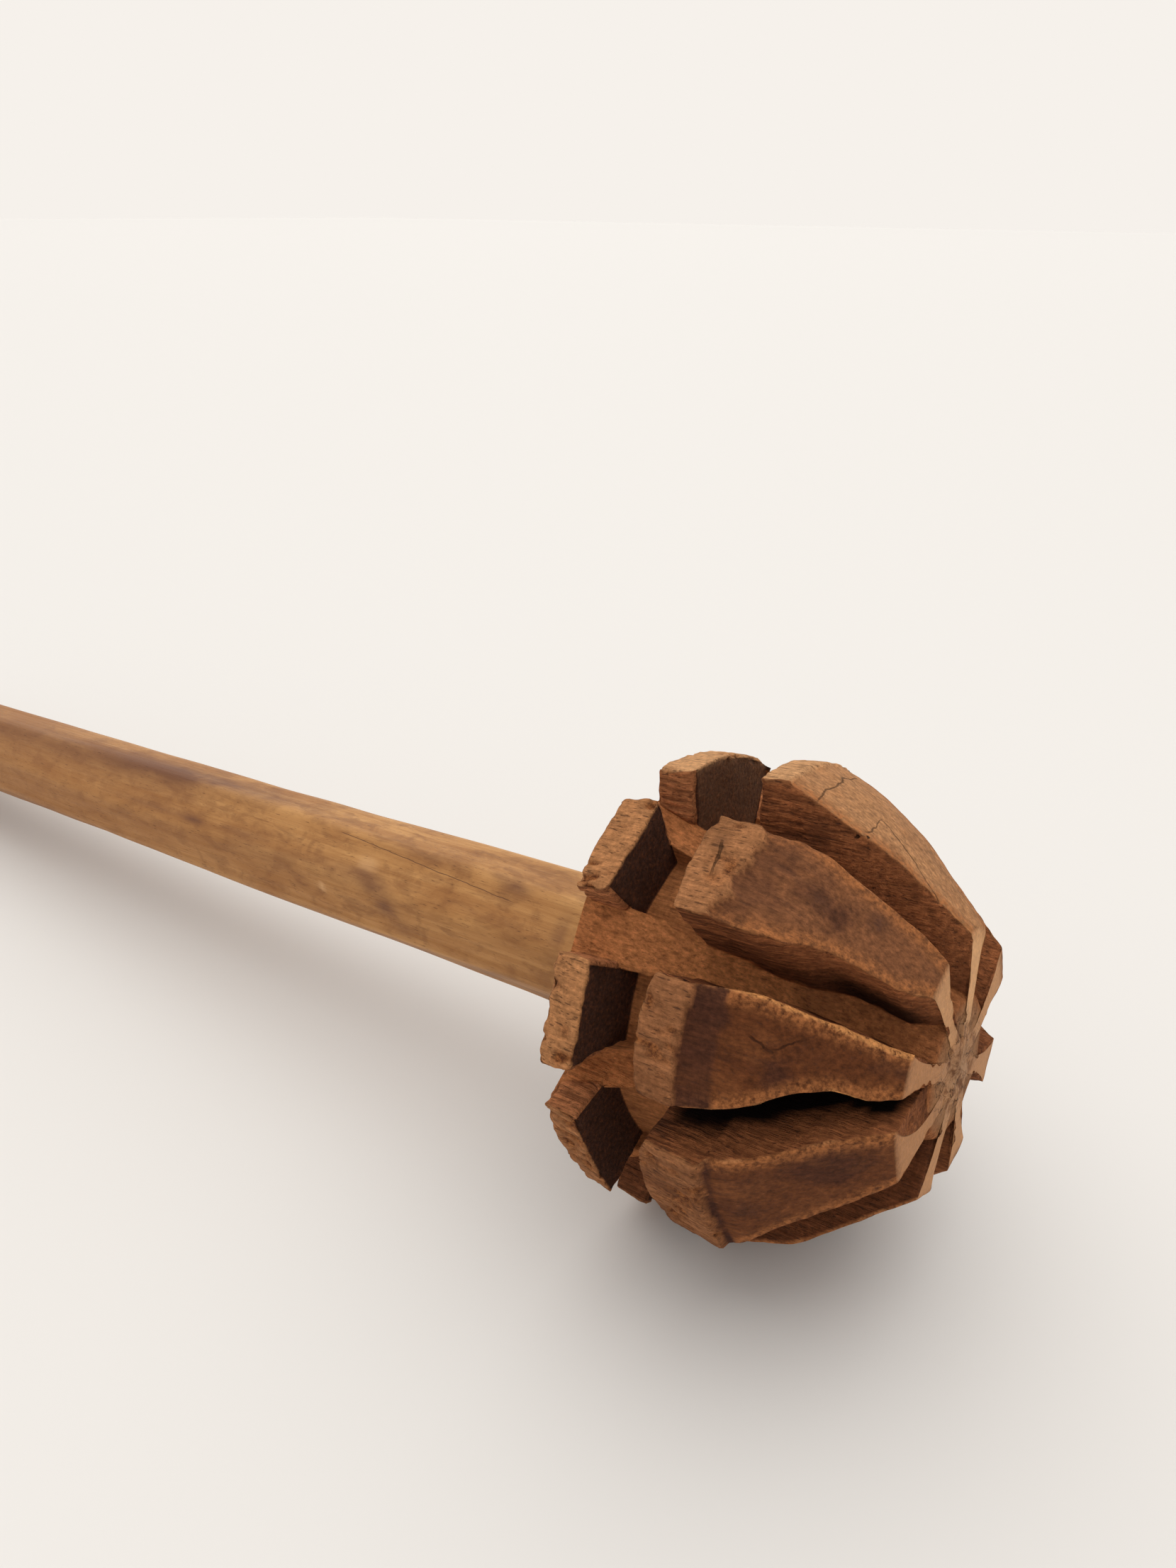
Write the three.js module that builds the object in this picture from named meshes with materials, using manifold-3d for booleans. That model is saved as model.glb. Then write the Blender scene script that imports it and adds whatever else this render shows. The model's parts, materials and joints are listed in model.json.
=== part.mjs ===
// A curd churner: a carved wooden beater head on a long whittled shaft, lying as it rests on a table.
// Millimetres and degrees, +Z up. The head is carved along its own axis, which runs from the shaft to the nose.
// "Reach" is the distance from that axis to a flat facet, and "turn" is counted from the top towards -Y.
import * as THREE from 'three';
import { ConvexGeometry } from 'three/addons/geometries/ConvexGeometry.js';
import { mergeVertices } from 'three/addons/utils/BufferGeometryUtils.js';
import Module from 'manifold-3d';

// Lengths of the head along its axis, in order from the rear face to the nose
const rimBevel = 0.4;
const blockLength = 5.6;
const grooveWidth = 9;
const bandLength = 6.4;
const swellLength = 7;
const taperLength = 15;
const noseRise = 1.9;

// Reaches of the carved facets
const blockRearReach = 32.1;
const blockFrontReach = 32.8;
const bandReach = 32.6;
const widestReach = 33.2;
const swellReach = 30.2;
const tipReach = 18.2;
const floorRearRadius = 28.6;
const floorNoseRadius = 9.6;
const hubRadius = 6.4;
const spokeWidth = 2.6;
const swellNarrowing = 0.14;
const wallDraft = 12;

// The eight lobes are cut by eye, so each has its own turn, width, width at its tip and extra reach
const lobes = [
  { turn: -13, width: 19, tipWidth: 6.4, extra: 0.8 },
  { turn: 30, width: 14.8, tipWidth: 4.8, extra: 0.6 },
  { turn: 70, width: 14.8, tipWidth: 4.8, extra: 0 },
  { turn: 114, width: 20.4, tipWidth: 8, extra: -1 },
  { turn: 161, width: 15.6, tipWidth: 6, extra: 0 },
  { turn: 201, width: 15.4, tipWidth: 5.6, extra: 0 },
  { turn: 247, width: 16.6, tipWidth: 6.4, extra: 0 },
  { turn: 294.5, width: 18.4, tipWidth: 6.2, extra: 0.4 },
];
const lobeTwist = -6.7;

// The shaft is whittled to eight flats with softened corners, and its tenon sits in a blind socket
const shaftLength = 286;
const shaftFlats = 8;
const shaftAcross = 20.8;
const cornerSoftening = 1.1;
const buttChamfer = 2;
const tenonDiameter = 16;
const tenonLength = 29;
const tenonSides = 32;
const fitGap = 0.3;

// The fox wedge, which spreads the tenon inside the socket
const wedgeLength = 17;
const wedgeWidth = 12;
const wedgeThick = 3.4;
const wedgeThin = 1;

const wasm = await Module();
wasm.setup();

const blockFront = rimBevel + blockLength;
const lobeRear = blockFront + grooveWidth;
const lobeWidest = lobeRear + bandLength;
const lobeSwell = lobeWidest + swellLength;
const lobeTip = lobeSwell + taperLength;
const nose = lobeTip + noseRise;
const tenonEnd = tenonLength - fitGap;
const wedgeStart = tenonEnd - wedgeLength;

const radians = THREE.MathUtils.degToRad;

function solidOf(geometry) {
  const bare = geometry.clone();
  bare.deleteAttribute('normal');
  if (bare.hasAttribute('uv')) bare.deleteAttribute('uv');
  const merged = mergeVertices(bare, 1e-4);
  const vertProperties = new Float32Array(merged.attributes.position.array);
  const triVerts = new Uint32Array(merged.index.array);
  return new wasm.Manifold(new wasm.Mesh({ numProp: 3, vertProperties, triVerts }));
}

function geometryOf(solid) {
  const mesh = solid.getMesh();
  const geometry = new THREE.BufferGeometry();
  geometry.setAttribute('position', new THREE.BufferAttribute(new Float32Array(mesh.vertProperties), 3));
  geometry.setIndex(new THREE.BufferAttribute(new Uint32Array(mesh.triVerts), 1));
  geometry.computeVertexNormals();
  return geometry;
}

// The lobes lean round the axis a little on the way from the rear face to their tips
function turnAt(lobe, along) {
  return radians(lobe.turn + (lobeTwist * along) / lobeTip);
}

// A corner of a lobe or block: so far along the axis, so far out, and so far to one side of its middle
function carvedCorner(lobe, along, reach, side) {
  const angle = turnAt(lobe, along);
  const y = -Math.sin(angle) * reach - Math.cos(angle) * side;
  const z = Math.cos(angle) * reach - Math.sin(angle) * side;
  return new THREE.Vector3(along, y, z);
}

// The side walls lean in towards the root, so a lobe or block is narrower the deeper it is cut
function widthAt(width, reach, depthReach) {
  return width - 2 * (reach - depthReach) * Math.tan(radians(wallDraft));
}

// Four corners for each section: two on the outer facet and two at a root deep inside the core
function carvedPiece(lobe, sections) {
  const corners = sections.flatMap(({ along, reach, width, root, rootWidth }) => [-1, 1].flatMap((side) => [
    carvedCorner(lobe, along, reach, (side * width) / 2),
    carvedCorner(lobe, along, root, (side * rootWidth) / 2),
  ]));
  return solidOf(new ConvexGeometry(corners));
}

function draftedSection(along, reach, width) {
  return { along, reach, width, root: hubRadius, rootWidth: widthAt(width, reach, hubRadius) };
}

function carvedLobe({ extra, width, tipWidth, ...lobe }) {
  const swellWidth = THREE.MathUtils.lerp(width, tipWidth, swellNarrowing);
  return carvedPiece(lobe, [
    draftedSection(lobeRear, bandReach + extra, width),
    draftedSection(lobeWidest, widestReach + extra, width),
    draftedSection(lobeSwell, swellReach + extra, swellWidth),
    { along: lobeTip, reach: tipReach, width: tipWidth, root: tipReach / 2, rootWidth: spokeWidth },
    { along: nose - fitGap, reach: hubRadius, width: spokeWidth, root: hubRadius / 2, rootWidth: spokeWidth },
  ]);
}

function carvedBlock({ extra, width, ...lobe }) {
  return carvedPiece(lobe, [
    draftedSection(rimBevel, blockRearReach + extra, width),
    draftedSection(blockFront, blockFrontReach + extra, width),
  ]);
}

// The channel floors run as flats between the feet of neighbouring lobes
function floorRing(along, radius, widthOf) {
  return lobes.flatMap((lobe) => [-1, 1].map((side) => {
    const half = (side * widthOf(lobe)) / 2;
    return carvedCorner(lobe, along, Math.sqrt(radius ** 2 - half ** 2), half);
  }));
}

function core() {
  const footWidth = (lobe) => widthAt(lobe.width, blockRearReach, floorRearRadius);
  return solidOf(new ConvexGeometry([
    ...floorRing(0, floorRearRadius, footWidth),
    ...floorRing(lobeTip, floorNoseRadius, () => spokeWidth),
    ...floorRing(nose, hubRadius, () => spokeWidth),
  ]));
}

// A straight round or many-sided bar along the axis, from one place to another
function roundBar(from, to, radius, sides) {
  const bar = new THREE.CylinderGeometry(radius, radius, to - from, sides);
  bar.rotateZ(-Math.PI / 2);
  bar.translate((from + to) / 2, 0, 0);
  return solidOf(bar);
}

// One section of the shaft: each flat is a pair of corners, drawn in by "inset"
function shaftRing(along, inset) {
  const reach = shaftAcross / 2 - inset;
  const sharpHalf = reach * Math.tan(Math.PI / shaftFlats);
  const half = sharpHalf - cornerSoftening;
  return Array.from({ length: shaftFlats }, (_, flat) => (flat * 2 * Math.PI) / shaftFlats).flatMap((angle) => (
    [-half, half].map((side) => new THREE.Vector3(
      along,
      -Math.sin(angle) * reach - Math.cos(angle) * side,
      Math.cos(angle) * reach - Math.sin(angle) * side,
    ))
  ));
}

// A flat block along the axis whose thickness changes evenly from one end to the other
function taperedBlock(from, to, fromThick, toThick, width) {
  const corners = [[from, fromThick], [to, toThick]].flatMap(([along, thick]) => (
    [-1, 1].flatMap((a) => [-1, 1].map((b) => new THREE.Vector3(along, (a * width) / 2, (b * thick) / 2)))
  ));
  return solidOf(new ConvexGeometry(corners));
}

function carvedHead() {
  const carved = lobes.reduce((block, lobe) => block.add(carvedLobe(lobe)).add(carvedBlock(lobe)), core());
  const socket = roundBar(-tenonLength, tenonLength, tenonDiameter / 2 + fitGap, tenonSides);
  return carved.subtract(socket);
}

function whittledShaft() {
  const bar = solidOf(new ConvexGeometry([
    ...shaftRing(-shaftLength, buttChamfer),
    ...shaftRing(-shaftLength + buttChamfer, 0),
    ...shaftRing(-fitGap, 0),
  ]));
  const tenon = roundBar(-tenonLength, tenonEnd, tenonDiameter / 2, tenonSides);
  const kerf = taperedBlock(
    wedgeStart - fitGap,
    tenonEnd + fitGap,
    wedgeThin + 2 * fitGap,
    wedgeThick + 2 * fitGap,
    2 * tenonDiameter,
  );
  return bar.add(tenon).subtract(kerf);
}

function named(name, solid, material) {
  const mesh = new THREE.Mesh(geometryOf(solid), new THREE.MeshStandardMaterial(material));
  mesh.name = name;
  return mesh;
}

const wedgeSolid = taperedBlock(wedgeStart, tenonEnd, wedgeThin, wedgeThick, wedgeWidth);

const churner = new THREE.Group();
churner.add(named('head', carvedHead(), { color: 0x8a5230, roughness: 0.75, metalness: 0 }));
churner.add(named('shaft', whittledShaft(), { color: 0xb98a5a, roughness: 0.55, metalness: 0 }));
churner.add(named('wedge', wedgeSolid, { color: 0x9a7048, roughness: 0.8, metalness: 0 }));

// The churner lies on two corners of the head and one of the shaft's butt: a face of its own convex hull
function restingTurn(group) {
  const points = group.children.flatMap((mesh) => {
    const position = mesh.geometry.attributes.position;
    return Array.from({ length: position.count }, (_, i) => new THREE.Vector3().fromBufferAttribute(position, i));
  });
  const hull = new ConvexGeometry(points).attributes.position;
  const faces = Array.from({ length: hull.count / 3 }, (_, face) => (
    [0, 1, 2].map((corner) => new THREE.Vector3().fromBufferAttribute(hull, 3 * face + corner))
  ));
  const down = new THREE.Vector3(0, 0, -1);
  const normals = faces
    .filter((face) => face.filter((corner) => corner.x > 0).length === 2)
    .map(([a, b, c]) => b.clone().sub(a).cross(c.clone().sub(a)).normalize())
    .sort((a, b) => b.dot(down) - a.dot(down));
  return new THREE.Quaternion().setFromUnitVectors(normals[0], down);
}

const tilted = new THREE.Group();
tilted.quaternion.copy(restingTurn(churner));
tilted.add(churner);

// The axis keeps to the XZ plane, and the part stands centred on its origin
const axis = new THREE.Vector3(1, 0, 0).applyQuaternion(tilted.quaternion);
const part = new THREE.Group();
part.rotation.z = -Math.atan2(axis.y, axis.x);
part.add(tilted);
part.updateMatrixWorld(true);
const box = new THREE.Box3().setFromObject(part, true);
const centre = box.getCenter(new THREE.Vector3());
part.position.set(-centre.x, -centre.y, -box.min.z);

export default part;
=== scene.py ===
"""A curd churner: a carved wooden beater head on a long whittled shaft, lying on a pale table."""
import json

import bpy
import numpy as np
from mathutils import Matrix, Vector


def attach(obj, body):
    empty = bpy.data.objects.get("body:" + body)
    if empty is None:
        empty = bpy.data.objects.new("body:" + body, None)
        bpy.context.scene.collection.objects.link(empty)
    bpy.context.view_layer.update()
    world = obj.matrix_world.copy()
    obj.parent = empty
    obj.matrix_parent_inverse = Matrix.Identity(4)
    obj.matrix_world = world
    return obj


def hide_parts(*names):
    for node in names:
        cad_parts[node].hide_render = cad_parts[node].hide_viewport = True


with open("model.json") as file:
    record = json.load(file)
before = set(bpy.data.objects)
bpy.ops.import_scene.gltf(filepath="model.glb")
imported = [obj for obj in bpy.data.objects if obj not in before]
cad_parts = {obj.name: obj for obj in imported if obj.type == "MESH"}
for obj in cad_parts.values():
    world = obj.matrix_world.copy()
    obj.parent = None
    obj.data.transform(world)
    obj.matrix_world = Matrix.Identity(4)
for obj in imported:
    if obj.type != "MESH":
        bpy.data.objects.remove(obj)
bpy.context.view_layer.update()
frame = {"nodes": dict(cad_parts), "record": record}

# The photograph was taken from close by, in front of the nose and above it, with the shaft running off to
# the left. The camera stands in the same place, and its heading is counted from +Y towards -X.
CAMERA_PLACE = (0.19656, -0.12864, 0.13735)
CAMERA_HEADING, CAMERA_PITCH, CAMERA_ROLL = np.radians((35.88, 26.1, 0.57))
CAMERA_LENS = 27.195

camera_data = bpy.data.cameras.new("camera")
camera_data.lens = CAMERA_LENS
camera_data.sensor_width = 36.0
camera_data.clip_start = 0.01
camera = bpy.data.objects.new("camera", camera_data)
bpy.context.scene.collection.objects.link(camera)
camera.matrix_world = (
    Matrix.Translation(CAMERA_PLACE)
    @ Matrix.Rotation(CAMERA_HEADING, 4, "Z")
    @ Matrix.Rotation(np.pi / 2 - CAMERA_PITCH, 4, "X")
    @ Matrix.Rotation(CAMERA_ROLL, 4, "Z")
)
bpy.context.scene.camera = camera

# The beater head is one block of coarse red-brown wood, held nose up and carved by eye. Eight lobes
# stand round a core, and a groove sawn round them leaves their rear ends as eight short blocks. All head
# values are in millimetres and degrees, along the head's own axis from its rear face to the nose.
HEAD_LENGTH = 45.3
REST_ROLL = np.radians(0.3227)
MM = 0.001

# Places along the axis, and how far the lobes lean round it on the way from the rear face to their tips
BLOCK_REAR, BLOCK_FRONT, GROOVE_MIDDLE, LOBE_REAR, LOBE_TIP, HUB_PLACE = 0.4, 6.0, 10.0, 15.0, 43.4, 44.1
LOBE_LEAN = -6.7

# The core: its floor is a cone between the lobes and curves over the nose to the hub, where the lobes'
# ends run together as spokes. A lobe is narrower the deeper it is cut, by the draft of its walls.
FLOOR_REAR, FLOOR_SLOPE = 28.65, -0.4344
HUB_RADIUS, SPOKE_HALF, WALL_DRAFT = 6.4, 1.3, np.radians(12)
DOME_SHARES, DOME_PLACES = (0, 0.5, 1), (LOBE_TIP, 43.8, HUB_PLACE)
DOME_FLOORS = (FLOOR_REAR + FLOOR_SLOPE * LOBE_TIP, 9.6, HUB_RADIUS)

# The outer facets: a place along the axis, the reach there, and the slope
BLOCK_FACET, BAND_FACET = (BLOCK_REAR, 32.1, 0.125), (LOBE_REAR, 32.6, 0.094)
SWELL_FACET, LONG_FACET, DOME_FACET = (20.8, 32.5, -0.34), (28.4, 30.2, -0.8), (LOBE_TIP, 18.2, -16.86)

# How far each lobe's two edges stand from its middle, at these places along it
EDGE_ALONG = (LOBE_REAR, 21.4, 25.0, 28.4, 31.0, 33.5, 36.5, 40.0, LOBE_TIP)


def tapered(half, tip):
    """An edge that keeps its width to the swell and then narrows evenly to the tip."""
    swell = 0.9 * half + 0.1 * tip
    return np.interp(EDGE_ALONG, (LOBE_REAR, 21.4, 28.4, LOBE_TIP), (half, half, swell, tip))


# The lobes were cut by eye. "turn" is counted from the top, and "less" and "more" are a lobe's two edges.
# "rear" and "step" are the places of its rear face and of the step to its long facet, at the first edge,
# the middle and the other edge. The step is "jag" uneven, and the facet lies "drop" lower in front of it
# and bends over a height of "bend". The lobe reaches "extra" higher than the plain facets, "rise" more at
# its rear and "tip" at its tip, and "crown" is how round it is. The block has two halves and faces of its
# own. "notch" is the groove's radius, and "deep" is the scoop of the channel after the lobe.
PLAIN_LOBE = dict(extra=0.0, rise=0.0, drop=0.0, jag=0.5, bend=0.6, block_extra=0.0)
LOBES = [PLAIN_LOBE | lobe for lobe in (
    dict(turn=-13.0, less=(9.5, 9.5, 9.3, 8.7, 7.8, 6.9, 5.7, 4.5, 3.2),
         more=(9.8, 10.0, 10.0, 9.7, 8.7, 7.6, 6.4, 5.0, 2.8), rear=(15.0, 14.6, 15.0),
         step=(19.6, 19.4, 19.4), extra=1.9, rise=0.9, bend=3.2, crown=1.0, tip=0.6, notch=24.0, deep=0.6,
         block=(12.6, 9.7), block_rear=(-0.1, -0.3), block_front=(5.5, 5.3),
         block_extra=1.9, block_crown=1.0),
    dict(turn=30.0, less=(7.6, 6.5, 7.0, 6.5, 5.8, 5.3, 4.9, 4.3, 2.9),
         more=(7.4, 7.6, 7.6, 7.1, 6.0, 5.1, 4.8, 4.5, 2.4), rear=(13.3, 13.2, 14.5),
         step=(21.6, 21.0, 20.0), jag=2.2, drop=0.2, extra=0.6, crown=0.0, tip=0.3, notch=22.5, deep=0.3,
         block=(8.4, 6.8), block_rear=(-1.3, -0.4), block_front=(4.7, 4.7),
         block_extra=0.6, block_crown=0.1),
    dict(turn=70.0, less=(8.0, 7.6, 7.5, 7.3, 6.5, 5.7, 5.0, 3.8, 3.0),
         more=(7.2, 7.6, 7.2, 6.1, 4.8, 3.5, 2.7, 3.3, 2.4), rear=(14.8, 13.9, 15.5),
         step=(20.8, 20.4, 20.8), drop=0.25, crown=0.1, tip=0.3, notch=20.5, deep=4.0,
         block=(7.6, 7.4), block_rear=(0.1, 0.1), block_front=(5.9, 5.7), block_crown=0.1),
    dict(turn=114.0, less=(10.4, 10.4, 10.0, 9.2, 8.8, 8.9, 8.9, 8.5, 7.9),
         more=(10.4, 10.4, 9.9, 7.8, 6.4, 5.6, 4.4, 2.9, 1.4), rear=(15.9, 13.9, 15.1),
         step=(24.4, 23.6, 24.2), drop=0.6, extra=-1.0, crown=0.3, tip=0.2, notch=22.5, deep=1.0,
         block=(10.2, 10.2), block_rear=(-0.2, -0.6), block_front=(5.4, 5.0),
         block_extra=-1.0, block_crown=0.3),
    dict(turn=161.0, less=tapered(7.8, 3.0), more=tapered(7.8, 3.0), rear=(15.0, 14.5, 15.2),
         step=(19.0, 18.6, 19.2), crown=0.2, tip=-0.6, notch=22.0, deep=0.8,
         block=(7.8, 7.8), block_rear=(0.4, 0.2), block_front=(6.1, 5.8), block_crown=0.2),
    dict(turn=201.0, less=tapered(7.7, 2.8), more=tapered(7.7, 2.8), rear=(15.2, 14.6, 14.8),
         step=(20.4, 21.0, 20.8), crown=0.15, tip=0.7, notch=22.7, deep=0.5,
         block=(7.7, 7.7), block_rear=(0.1, 0.4), block_front=(5.8, 6.1), block_crown=0.15),
    dict(turn=247.0, less=tapered(8.3, 3.2), more=tapered(8.3, 3.2), rear=(14.8, 14.3, 15.0),
         step=(21.2, 20.6, 20.4), crown=0.2, tip=0.6, notch=21.8, deep=0.9,
         block=(8.3, 8.3), block_rear=(0.3, 0.1), block_front=(5.9, 6.0), block_crown=0.2),
    dict(turn=294.5, less=tapered(9.2, 3.1), more=tapered(9.2, 3.1), rear=(15.1, 14.5, 15.0),
         step=(20.2, 20.6, 21.0), extra=0.4, crown=0.3, tip=1.1, notch=22.4, deep=0.7,
         block=(9.2, 9.2), block_rear=(0.2, 0.4), block_front=(6.1, 5.8), block_extra=0.6, block_crown=0.5),
)]

# Wear of the corners: chips where the noise is above a level (cell size, seed and level), and how far apart
# in it the lobes and their two edges are. The first block's edge is split away, and the third lobe's upper
# edge is broken, this wide at places along it. Its broken strip is painted light orange, partly as fresh
# wood and partly as a painted highlight.
CHIPS, LOBES_APART, EDGES_APART = (((2.3, 1, 1), 21, 0.5), ((0.8, 1, 1), 22, 0.6)), 7.0, 3.0
HAIRLINE, CHIP_WIDTH, END_WEAR = 0.12, 0.55, 0.6
SPLIT_BLOCK, SPLIT_WIDTH, BROKEN_LOBE = 0, 2.4, 2
BROKEN_ALONG = (24.0, 28.0, 31.0, 34.0, 36.0, 38.0, 42.0, LOBE_TIP)
BROKEN_WIDTH = (0.1, 0.25, 0.4, 0.35, 0.6, 0.45, 0.8, 0.5)

# Stations along the carving: place along the axis, share of the lobes' height (-1 is the floor of the
# groove behind them), and the number of rows to the next station
STATIONS = [
    (0.0, 0, 7), (BLOCK_REAR, 1, 17), (BLOCK_FRONT, 1, 14), (6.2, -1, 14), (14.8, -1, 12),
    (LOBE_REAR, 1, 76), (LOBE_TIP, 1, 17), (HUB_PLACE, 1, 1),
]
WALL_COLUMNS, FACET_COLUMNS, CHANNEL_COLUMNS = 11, 34, 13
ON_FLOOR, ON_WALL, ON_FACET = 0, 1, 2


def eased(count, gather=0.6):
    """Fractions from 0 to 1, without the 1, gathered towards both ends: a blend of even steps and a half
    cosine."""
    t = np.arange(count) / count
    return (1 - gather) * t + gather * (1 - np.cos(np.pi * t)) / 2


def between(first, second, share):
    """From the first value to the second, by the share."""
    return first + (second - first) * share


def station_rows():
    """Every row's place along the axis and share of the lobes' height, up to the hub, as two columns."""
    rows = []
    for (s0, h0, steps), (s1, h1, _) in zip(STATIONS, STATIONS[1:]):
        t = eased(steps)[:, None]
        rows.append((1 - t) * np.array([s0, h0]) + t * np.array([s1, h1]))
    rows.append(np.array([[HUB_PLACE, 1]]))
    rows = np.concatenate(rows)
    return rows[:, :1], rows[:, 1:]


# Large odd factors that scatter the corners of the noise's grid of cells
CORNER_FACTORS, SEED_FACTOR, SCATTER = np.array((374761393, 668265263, 2147483647)), 974634777, 1274126177
HIGHEST = 65535


def value_noise(points, cell, seed):
    """Smooth random values from 0 to 1: each corner of a grid of cells has a hashed value, and they are
    blended across the cell with 3t^2 - 2t^3."""
    scaled = points / np.asarray(cell, float)
    base = np.floor(scaled).astype(np.int64)
    part = scaled - base
    part = part * part * (3 - 2 * part)
    total = np.zeros(points.shape[:-1])
    for corner in np.ndindex(2, 2, 2):
        code = ((base + corner) * CORNER_FACTORS).sum(-1) + seed * SEED_FACTOR
        code = (code ^ (code >> 13)) * SCATTER
        code = (code ^ (code >> 16)) & HIGHEST
        total += code / HIGHEST * np.prod(np.where(corner, part, 1 - part), axis=-1)
    return total


def unevenness(points, *layers):
    """Layers of value noise added up: each has its cell size, its seed and its strength, and goes half of
    that up and half of it down."""
    return sum(strength * (value_noise(points, cell, seed) - 0.5) for cell, seed, strength in layers)


def points_of(*parts):
    """Points from their three coordinates, as arrays or single values."""
    return np.stack(np.broadcast_arrays(*parts), -1)


def smoothstep(value, low, high):
    """0 below low, 1 above high and 3t^2 - 2t^3 between them."""
    t = np.clip((value - low) / (high - low), 0, 1)
    return t * t * (3 - 2 * t)


def on_plane(facet, s):
    """The reach of a facet at places along the axis: a straight line from its starting place."""
    start, reach, slope = facet
    return reach + slope * (s - start)


def lower_of(first, second, blend):
    """The lower of two heights, with the corner where they cross rounded over this much height: where
    they differ by less, it falls by blend * h * (1 - h), with h the first one's share."""
    share = np.clip(0.5 + (second - first) / (2 * blend), 0, 1)
    return second + (first - second) * share - blend * share * (1 - share)


def turned(angle, reach, side=0.0):
    """Places across and up from the axis: so far out at an angle from the top, and so far to one side of
    there."""
    across = -np.sin(angle) * reach - np.cos(angle) * side
    return across, np.cos(angle) * reach - np.sin(angle) * side


# The noise of the jagged step from the rear band to the swell, how far the drop in front of it runs, over
# what length the extra height goes over to the tip's, and where and over what length the rise fades out
STEP_CELL, STEP_SEED, DROP_LENGTH, TAPER_LENGTH, RISE_END, RISE_LENGTH = (1.3, 1, 1), 11, 5, 15, 28, 7


def facet_reach(lobe, s, side, share):
    """The outer surface of a lobe or block: the lowest of its planes, less the drop of its crown, which
    is a share of the way to a circle round the axis. Returns the reach, and how far ahead of the step
    each place is. A block counts as far behind the step."""
    in_block = s < GROOVE_MIDDLE
    step = np.interp(share, (-1, 0, 1), lobe["step"])
    step = step + unevenness(points_of(side, lobe["turn"], 0.0), (STEP_CELL, STEP_SEED, lobe["jag"]))
    ahead = np.where(in_block, -LOBE_REAR, s - step)
    swell_start, _, swell_slope = SWELL_FACET
    swell = on_plane(SWELL_FACET, s) - swell_slope * (step - swell_start)
    swell = swell - lobe["drop"] * np.clip(1 - ahead / DROP_LENGTH, 0, 1)
    taper = np.clip((LOBE_TIP - s) / TAPER_LENGTH, 0, 1)
    extra = lobe["extra"] * taper + lobe["tip"] * (1 - taper)
    extra = extra + lobe["rise"] * np.clip((RISE_END - s) / RISE_LENGTH, 0, 1)
    sloping = on_plane(LONG_FACET, s)
    front = np.where(ahead < 0, sloping, lower_of(swell, sloping, lobe["bend"]))
    front = np.minimum(np.minimum(on_plane(BAND_FACET, s), front) + extra, on_plane(DOME_FACET, s))
    reach = np.where(in_block, on_plane(BLOCK_FACET, s) + lobe["block_extra"], front)
    crown = np.where(in_block, lobe["block_crown"], lobe["crown"])
    return reach - crown * (reach - np.sqrt(np.maximum(reach**2 - side**2, 0))), ahead


def edge_wear(number, sign, s):
    """Width of the worn or broken corner along an edge: a hair's breadth, wider where value noise is
    high."""
    place = points_of(s, LOBES_APART * number, EDGES_APART * sign)
    chips = sum(np.clip(value_noise(place, cell, seed) - level, 0, 1) for cell, seed, level in CHIPS)
    width = HAIRLINE + CHIP_WIDTH * chips
    if number == SPLIT_BLOCK and sign < 0:
        width = width + SPLIT_WIDTH * (s < GROOVE_MIDDLE)
    if number == BROKEN_LOBE and sign < 0:
        width = width + np.interp(s, BROKEN_ALONG, BROKEN_WIDTH)
    return width


# Where the shift of a block's front face has faded out, and where that of a lobe's rear face has
BLOCK_FADE, LOBE_FADES = 12.0, (9.0, 22.0)


def face_shift(lobe, s, share):
    """How far the sawn faces of a lobe and its block stand from their nominal places, fading out between
    them. The lobe's rear face is a parabola through its three places, and the block's faces are
    straight."""
    rear0, rear1 = lobe["block_rear"]
    front0, front1 = lobe["block_front"]
    first, middle, last = lobe["rear"]
    block_rear = (rear0 + rear1) / 2 + (rear1 - rear0) / 2 * share - BLOCK_REAR
    block_front = (front0 + front1) / 2 + (front1 - front0) / 2 * share - BLOCK_FRONT
    lobe_rear = middle + (last - first) / 2 * share + ((first + last) / 2 - middle) * share**2 - LOBE_REAR
    return (
        block_rear * np.interp(s, (BLOCK_REAR, BLOCK_FRONT), (1, 0))
        + block_front * np.interp(s, (BLOCK_REAR, BLOCK_FRONT, BLOCK_FADE), (0, 1, 0))
        + lobe_rear * np.interp(s, (LOBE_FADES[0], LOBE_REAR, LOBE_FADES[1]), (0, 1, 0))
    )


def inside_ends(s):
    """How far a row is inside the nearer end of its block, or inside its lobe's rear end."""
    return np.where(s < GROOVE_MIDDLE, np.minimum(s - BLOCK_REAR, BLOCK_FRONT - s), s - LOBE_REAR)


def rounded(inside, radius):
    """How far a rounded corner stands back from a sharp one, at a distance inside its end:
    r - sqrt(r^2 - (r - d)^2)."""
    short = np.clip(radius - inside, 0, radius)
    return radius - np.sqrt(radius**2 - short**2)


# Rounding of the lobes' and blocks' upright corners, the least half width of a foot, and how far a corner
# that is cut down to the floor keeps inside the foot
END_ROUNDING, LEAST_FOOT, FOOT_SHARE = 0.7, 0.5, 0.96


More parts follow.
